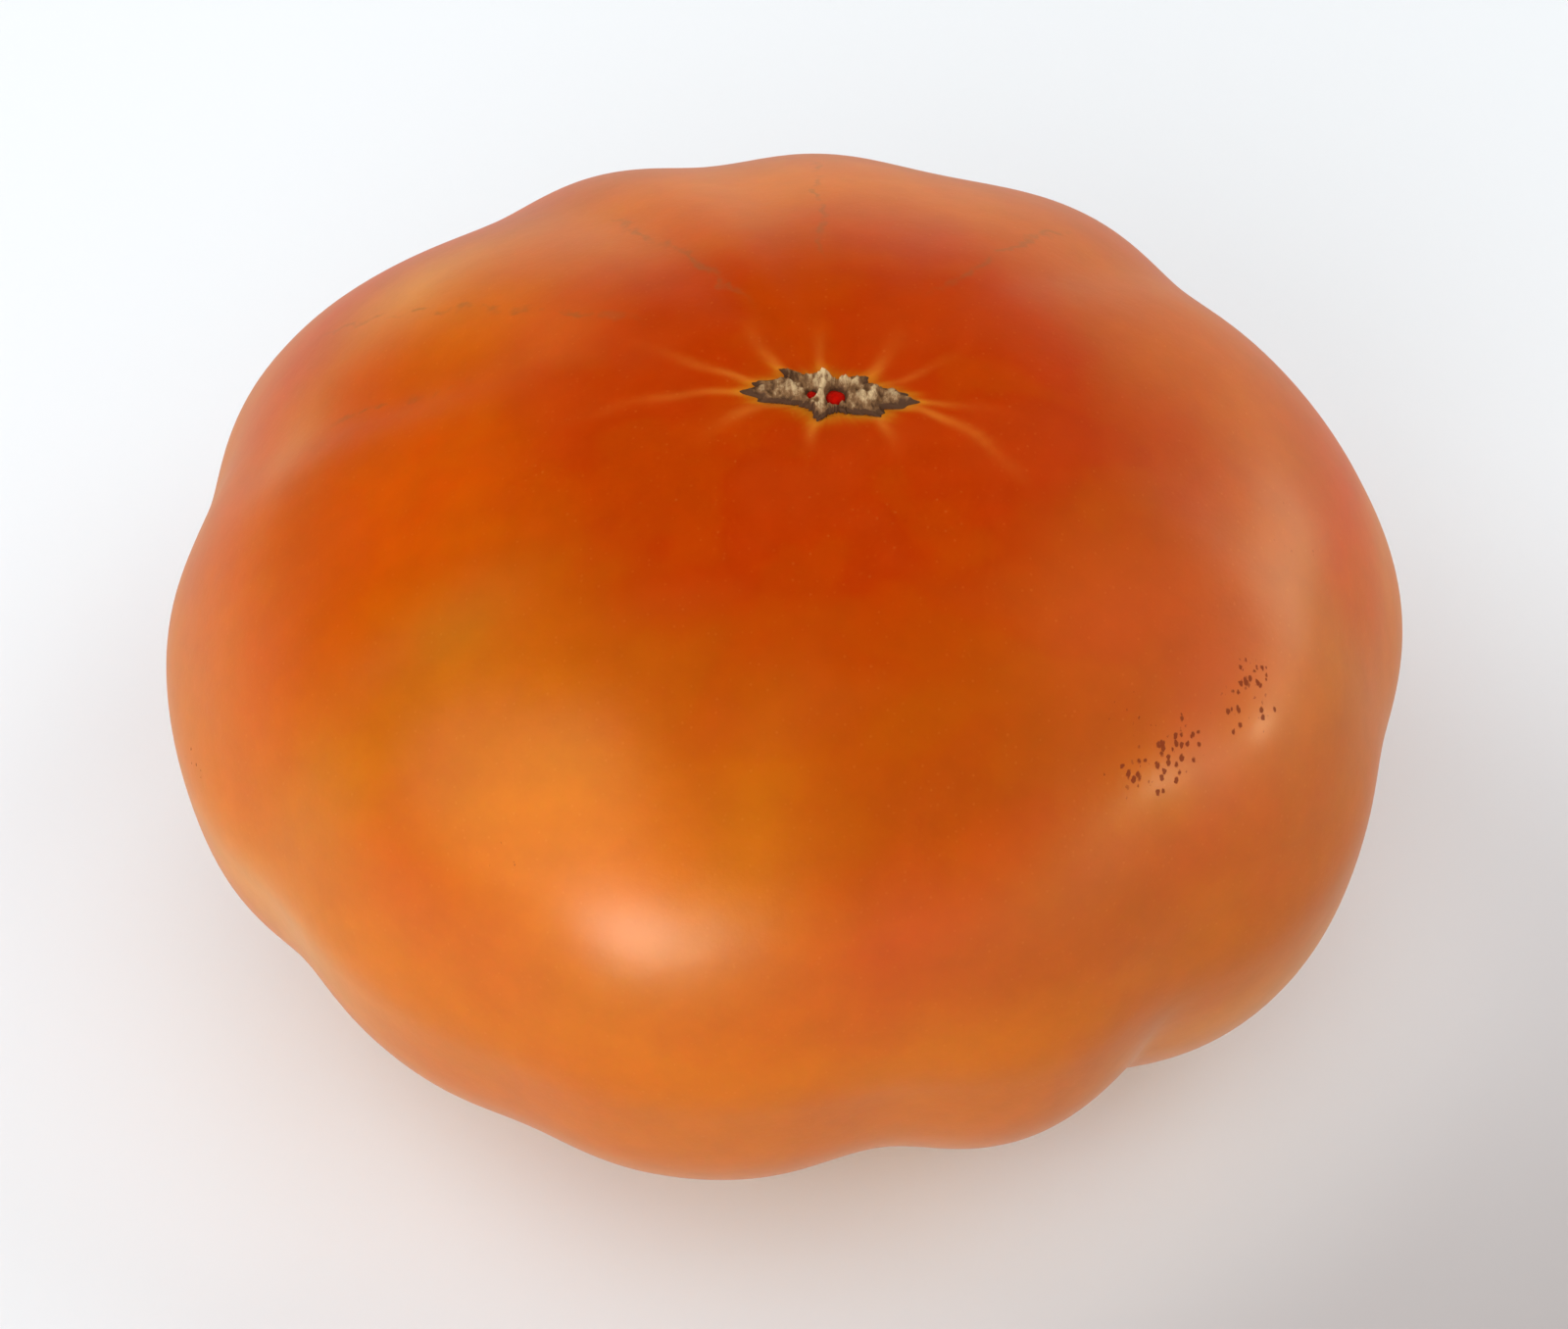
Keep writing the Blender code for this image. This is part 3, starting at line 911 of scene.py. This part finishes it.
def colour_property(name, description, code):
    return bpy.props.FloatVectorProperty(
        name=name, description=description, default=hex_linear(code), size=4, min=0, max=1, subtype="COLOR"
    )


class TomatoLooks(bpy.types.PropertyGroup):
    """The colours of the skin and scars."""

    crown: colour_property(*SKIN_COLOURS["crown"])
    red: colour_property(*SKIN_COLOURS["red"])
    orange: colour_property(*SKIN_COLOURS["orange"])
    amber: colour_property(*SKIN_COLOURS["amber"])
    gold: colour_property(*SKIN_COLOURS["gold"])
    straw: colour_property(*SKIN_COLOURS["straw"])
    blush: colour_property(*SKIN_COLOURS["blush"])
    # Honey also serves as painted highlight tint under the highlights
    honey_and_highlight_tint: colour_property(*SKIN_COLOURS["honey_and_highlight_tint"])
    # Tan darkens the skin as painted shade on the side away from the window
    tan: colour_property(*SKIN_COLOURS["tan"])
    green: colour_property(*SKIN_COLOURS["green"])
    vein: colour_property("Vein", "The pale lines that run out from the scar", "#D27A26")
    halo: colour_property("Halo", "The skin round the scar's points", "#C47818")
    pore: colour_property("Pore", "The small pale pores", "#F0A050")
    dry_line: colour_property("Dry line", "Thin lines along the furrows behind the scar", "#80582C")
    freckle: colour_property("Freckle", "The clusters of brown freckles", "#782A08")
    cork: colour_property("Cork", "Most of the scar", "#84603E")
    # The dark cork also serves as painted shadow along the blossom scar's sunk edge
    cork_dark_and_shadow: colour_property("Dark cork", "The low parts of the scar", "#4E3422")
    cork_pale: colour_property("Pale cork", "The warts on top of the scar", "#DABE90")
    flesh: colour_property("Flesh", "Bare flesh in the scar's pits", "#C81408")
    flesh_dark: colour_property("Dark flesh", "The flesh's darker cells", "#8C0A04")


class StudioLooks(bpy.types.PropertyGroup):
    """The floor and the camera."""

    floor: colour_property("Floor", "The matt pale floor", "#E5EAEC")
    # Painted light: the floor coloured brighter round the fruit's foot
    floor_painted_light: colour_property("Floor, close", "The floor round the foot of the fruit", "#F4FFFF")
    # Painted shade: the floor coloured darker away from the window
    floor_painted_shade: colour_property("Floor, far side", "The floor away from the window", "#A8A4A2")
    floor_radius: bpy.props.FloatProperty(
        name="Floor radius", description="How far the floor reaches", default=2.5, min=0.5, unit="LENGTH"
    )
    camera_distance: bpy.props.FloatProperty(
        name="Camera distance",
        description="From the camera to the middle of the fruit",
        default=0.42,
        min=0.2,
        unit="LENGTH",
    )
    camera_elevation: bpy.props.FloatProperty(
        name="Camera elevation",
        description="How high the camera looks down from",
        default=np.radians(48.71),
        unit="ROTATION",
    )


class TomatoSkin(bpy.types.Operator):
    """Builds the fine skin of the fruit, with its ribs and furrows"""

    bl_idname = "tomato.skin"
    bl_label = "Skin"

    def execute(self, context):
        looks = context.scene.tomato_looks
        azimuth, latitude = skin_places()
        points = skin(azimuth, latitude, dimple_under_cork, fine_relief(azimuth, latitude))
        shift = settling(points)
        settled = np.maximum(points, [-np.inf, -np.inf, shift[2]]) - shift
        data = closed_mesh("tomato_skin", settled)
        colours = skin_colour(azimuth, latitude, settled, looks)
        store(data, "ripeness", colours.reshape(-1, 4))
        veins, halo = vein_strength(azimuth, latitude)
        store(data, "veins", veins.ravel())
        store(data, "halo", halo.ravel())
        freckled = np.zeros(azimuth.shape)
        for place_azimuth, place_latitude, half_width, half_height, strength in FRECKLES:
            place = (place_azimuth, place_latitude)
            cluster = strength * near(azimuth, latitude, place, half_width, half_height)
            freckled = np.maximum(freckled, cluster)
        store(data, "freckled", freckled.ravel())
        store(data, "dry", dry_line_places(azimuth, latitude).ravel())
        piece = put("tomato_skin", data, ripe_skin(looks, self.pole(shift)))
        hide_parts("tomato")
        return {"FINISHED"}

    def pole(self, shift):
        """The middle of the crown in metres, that the lines run out from."""
        return tuple((skin(np.zeros(1), np.full(1, np.pi / 2 - 0.001))[0] - shift) * MM)


def fruit_shift():
    """The shift that settles the fruit, for the pieces that stand on its skin."""
    azimuth, latitude = skin_places()
    return settling(skin(azimuth, latitude, lift=fine_relief(azimuth, latitude)))


class TomatoBlossomScar(bpy.types.Operator):
    """Builds the corky star at the blossom end, with its warts and its two pits of red flesh"""

    bl_idname = "tomato.blossom_scar"
    bl_label = "Blossom scar"

    def execute(self, context):
        looks = context.scene.tomato_looks
        shift = fruit_shift()
        share, turn = np.meshgrid(np.linspace(0.03, CORK_END, CORK_ROWS), one_turn(CORK_TURN), indexing="ij")
        x, y = scar_place(share, turn)
        azimuth, latitude = on_crown(x, y)
        thinning = eased((CORK_END - share) / CORK_BEVEL)
        ridges = rough_noise(skin(azimuth, latitude) * [1, 0.4, 1], CORK_RIDGE_GRAIN)
        top = skin(azimuth, latitude, cork_relief, CORK_RIDGE_HEIGHT * ridges * thinning)
        under_shares = np.linspace(CORK_END, 0.1, CORK_UNDERSIDE_ROWS + 1)[1:]
        share_below, turn_below = np.meshgrid(under_shares, one_turn(CORK_TURN), indexing="ij")
        sunk = CORK_UNDERSIDE + (CORK_CORE - CORK_UNDERSIDE) * eased((0.95 - share_below) / 0.3)
        under = skin(*on_crown(*scar_place(share_below, turn_below)), lift=-sunk)
        data = closed_mesh("blossom_scar", np.concatenate([top, under]) - shift)
        # Warts and ridges are pale, and the low edge is darkened as painted shadow where the star sinks into
        # the skin
        raised = np.clip((cork_relief(x, y) - dimple(x, y) - CORK_THICKNESS) / 0.35, -1, 1)
        crumbs = 0.5 * raised + 0.3 * ridges - 0.3 * eased((share - 0.82) / 0.2)
        store(data, "crumbs", np.concatenate([crumbs.ravel(), np.zeros(under[..., 0].size)]))
        put("blossom_scar", data, cork("scar_cork", looks, 0.4, (1.0, 0.4, 0.7)))
        for number, (pit_x, pit_y, size, depth) in enumerate(PITS, 1):
            x, y = pit_x + SCAR_MIDDLE[0], pit_y + SCAR_MIDDLE[1]
            floor = skin(*on_crown(np.array([x]), np.array([y])))[0] - shift
            self.flesh(number, floor + [0, 0, CORK_THICKNESS - 0.4 * depth], size, looks)
        return {"FINISHED"}

    def flesh(self, number, middle, size, looks):
        """A wet bead of flesh at the bottom of a pit."""
        down = np.linspace(0.08, np.pi - 0.08, FLESH_BEAD_ROWS)
        ring, turn = np.meshgrid(down, one_turn(FLESH_BEAD_TURN), indexing="ij")
        # Its outline is a little three-sided, so that it doesn't look turned
        wobble = 1 + 0.08 * np.sin(3 * turn + number) * np.sin(ring)
        radius = size * 1.05 * np.sin(ring) * wobble
        height = FLESH_BEAD_FLATNESS * size * np.cos(ring)
        rings = np.stack([radius * np.cos(turn), radius * np.sin(turn), height], axis=-1)
        data = closed_mesh(f"scar_flesh_{number}", rings + middle)
        put(f"scar_flesh_{number}", data, wet_flesh(looks))


class TomatoStalkScar(bpy.types.Operator):
    """Builds the ring-shaped cork that the stalk left, in the stem cavity under the fruit"""

    bl_idname = "tomato.stalk_scar"
    bl_label = "Stalk scar"

    def execute(self, context):
        looks = context.scene.tomato_looks
        shift = fruit_shift()
        shares = np.linspace(STALK_CORK_START, 1, STALK_CORK_ROWS)
        share, turn = np.meshgrid(shares, one_turn(STALK_CORK_TURN), indexing="ij")
        edge = STALK_CORK_RADIUS + 0.5 * np.sin(5 * turn + 1) + 0.3 * np.sin(11 * turn)
        radius = share * edge
        plain = skin(turn, -latitude_at(radius / HALF_WIDTH, BASE_POWER))
        crumbs = rough_noise(plain, STALK_CRUMB_GRAIN, octaves=4)
        ring = STALK_RING_HEIGHT * np.exp(-(((radius - STALK_RING_RADIUS) / STALK_RING_SPREAD) ** 2))
        pit = STALK_PIT_DEPTH * eased(1 - radius / STALK_RING_RADIUS)
        thickness = STALK_CORK_THICKNESS + ring + STALK_CRUMB_HEIGHT * crumbs
        thickness = thickness * eased((edge - radius) / STALK_CORK_BEVEL)
        low = plain.copy()
        low[..., 2] -= thickness - pit
        # The back is out of sight in the flesh, so it has few rows
        high = plain[::6].copy()
        high[..., 2] += STALK_PIT_DEPTH + STALK_CORK_DEPTH
        rings = np.concatenate([high, low[::-1]]) - shift
        data = closed_mesh("stalk_scar", rings)
        height = np.clip(ring, 0, 1) * 0.5 + crumbs * 0.4
        store(data, "crumbs", np.concatenate([np.zeros(high[..., 0].size), height[::-1].ravel()]))
        put("stalk_scar", data, cork("stalk_cork", looks, 1.0))
        return {"FINISHED"}


class TomatoStudio(bpy.types.Operator):
    """Sets up the pale floor, the soft light and the camera"""

    bl_idname = "tomato.studio"
    bl_label = "Studio"

    def execute(self, context):
        studio = context.scene.tomato_studio
        middle = -fruit_shift() * MM
        self.floor(studio)
        self.surround()
        for light in REFLECTED_LIGHTS:
            self.light(middle, *light).visible_diffuse = False
        for light in FILL_LIGHTS:
            lamp = self.light(middle, *light)
            lamp.visible_glossy = False
            lamp.data.cycles.use_multiple_importance_sampling = False
        self.camera(studio, middle)
        context.scene.view_settings.view_transform = "Standard"
        context.scene.view_settings.look = "None"
        return {"FINISHED"}

    def floor(self, studio):
        """A floor that is big enough to fill every view."""
        data = bpy.data.meshes.new("floor")
        azimuth = one_turn(FLOOR_TURN)
        ring = np.stack([np.cos(azimuth), np.sin(azimuth), np.zeros(FLOOR_TURN)], axis=-1)
        data.from_pydata((ring * studio.floor_radius).tolist(), [], [list(range(FLOOR_TURN))])
        data.materials.append(matt_paper(studio))
        piece = bpy.data.objects.new("floor", data)
        bpy.context.scene.collection.objects.link(piece)
        piece.visible_glossy = False

    def surround(self):
        """The room that the skin mirrors: pale low down and at the right, dark overhead."""
        world = bpy.data.worlds.new("room")
        world.use_nodes = True
        tree = world.node_tree
        tree.nodes.clear()
        direction = add(tree, "ShaderNodeTexCoord").outputs["Generated"]
        sides = add(tree, "ShaderNodeSeparateXYZ", {0: direction})
        x, z = sides.outputs["X"], sides.outputs["Z"]
        # A pale wall low down, but not at the left
        low = add(tree, "ShaderNodeMapRange", {"Value": z, 1: 0.02, 2: 0.45, 3: 1.0, 4: 0.0})
        not_left = add(tree, "ShaderNodeMapRange", {"Value": x, 1: -0.55, 2: -0.25, 3: 0.03, 4: 0.8})
        wall = add(tree, "ShaderNodeMath", {0: low.outputs[0], 1: not_left.outputs[0]}, operation="MULTIPLY")
        # A pale curtain at the right, which fades out overhead
        right = add(tree, "ShaderNodeMapRange", {"Value": x, 1: 0.25, 2: 0.9, 3: 0.0, 4: 0.5})
        not_top = add(tree, "ShaderNodeMapRange", {"Value": z, 1: 0.3, 2: 0.9, 3: 1.0, 4: 0.0})
        curtain = add(
            tree, "ShaderNodeMath", {0: right.outputs[0], 1: not_top.outputs[0]}, operation="MULTIPLY"
        )
        above = add(tree, "ShaderNodeMath", {0: wall.outputs[0], 1: curtain.outputs[0]}, operation="ADD")
        # The floor below, which the skin mirrors in place of the real one
        ground = add(tree, "ShaderNodeMapRange", {"Value": x, 1: -0.7, 2: 0.7, 3: 0.82, 4: 0.56})
        higher = add(tree, "ShaderNodeMapRange", {"Value": z, 1: -0.2, 2: 0.08})
        seen = add(
            tree, "ShaderNodeMix", {0: higher.outputs[0], 2: ground.outputs[0], 3: above.outputs[0]}
        )
        room = add(
            tree, "ShaderNodeBackground", {"Color": hex_linear("#FFF1E0"), "Strength": seen.outputs[0]}
        )
        add(tree, "ShaderNodeOutputWorld", {"Surface": room.outputs["Background"]})
        world.cycles.sampling_method = "NONE"
        bpy.context.scene.world = world

    def light(self, middle, name, azimuth, elevation, distance, size, watts, colour):
        """An area light that faces the fruit."""
        data = bpy.data.lights.new(name, "AREA")
        data.shape = "DISK"
        data.size = size
        data.energy = watts
        data.color = hex_linear(colour)[:3]
        lamp = bpy.data.objects.new(name, data)
        a, e = np.radians(azimuth), np.radians(elevation)
        away = Vector((np.sin(a) * np.cos(e), -np.cos(a) * np.cos(e), np.sin(e)))
        lamp.location = Vector(middle) + away * distance
        lamp.rotation_euler = away.to_track_quat("Z", "Y").to_euler()
        bpy.context.scene.collection.objects.link(lamp)
        return lamp

    def camera(self, studio, middle):
        """The camera, as the photograph was framed."""
        data = bpy.data.cameras.new("camera")
        data.sensor_width = SENSOR_WIDTH
        data.lens = LENS
        data.clip_start = 0.01
        data.clip_end = 20.0
        camera = bpy.data.objects.new("camera", data)
        e = studio.camera_elevation
        beside, above = AIM_BESIDE * MM, AIM_ABOVE * MM
        aim = Vector(middle) + Vector((beside, above * np.sin(e), above * np.cos(e)))
        camera.location = aim + Vector((0, -np.cos(e), np.sin(e))) * studio.camera_distance
        camera.rotation_euler = (np.pi / 2 - e, 0, 0)
        bpy.context.scene.collection.objects.link(camera)
        bpy.context.scene.camera = camera


OPERATORS = (TomatoSkin, TomatoBlossomScar, TomatoStalkScar, TomatoStudio)


class TomatoPanel(bpy.types.Panel):
    """Lists the tomato's pieces and their settings."""

    bl_idname = "VIEW3D_PT_tomato"
    bl_label = "Tomato"
    bl_space_type = "VIEW_3D"
    bl_region_type = "UI"
    bl_category = "Tomato"

    def draw(self, context):
        for operator in OPERATORS:
            self.layout.operator(operator.bl_idname)
        for group in (context.scene.tomato_looks, context.scene.tomato_studio):
            for name in group.bl_rna.properties.keys():
                if name not in ("rna_type", "name"):
                    self.layout.prop(group, name)


CLASSES = (TomatoLooks, StudioLooks, *OPERATORS, TomatoPanel)


def register():
    for made in CLASSES:
        bpy.utils.register_class(made)
    bpy.types.Scene.tomato_looks = bpy.props.PointerProperty(type=TomatoLooks)
    bpy.types.Scene.tomato_studio = bpy.props.PointerProperty(type=StudioLooks)


def unregister():
    del bpy.types.Scene.tomato_studio
    del bpy.types.Scene.tomato_looks
    for made in reversed(CLASSES):
        bpy.utils.unregister_class(made)


def main():
    register()
    bpy.ops.tomato.skin()
    bpy.ops.tomato.blossom_scar()
    bpy.ops.tomato.stalk_scar()
    bpy.ops.tomato.studio()


if __name__ == "__main__":
    main()
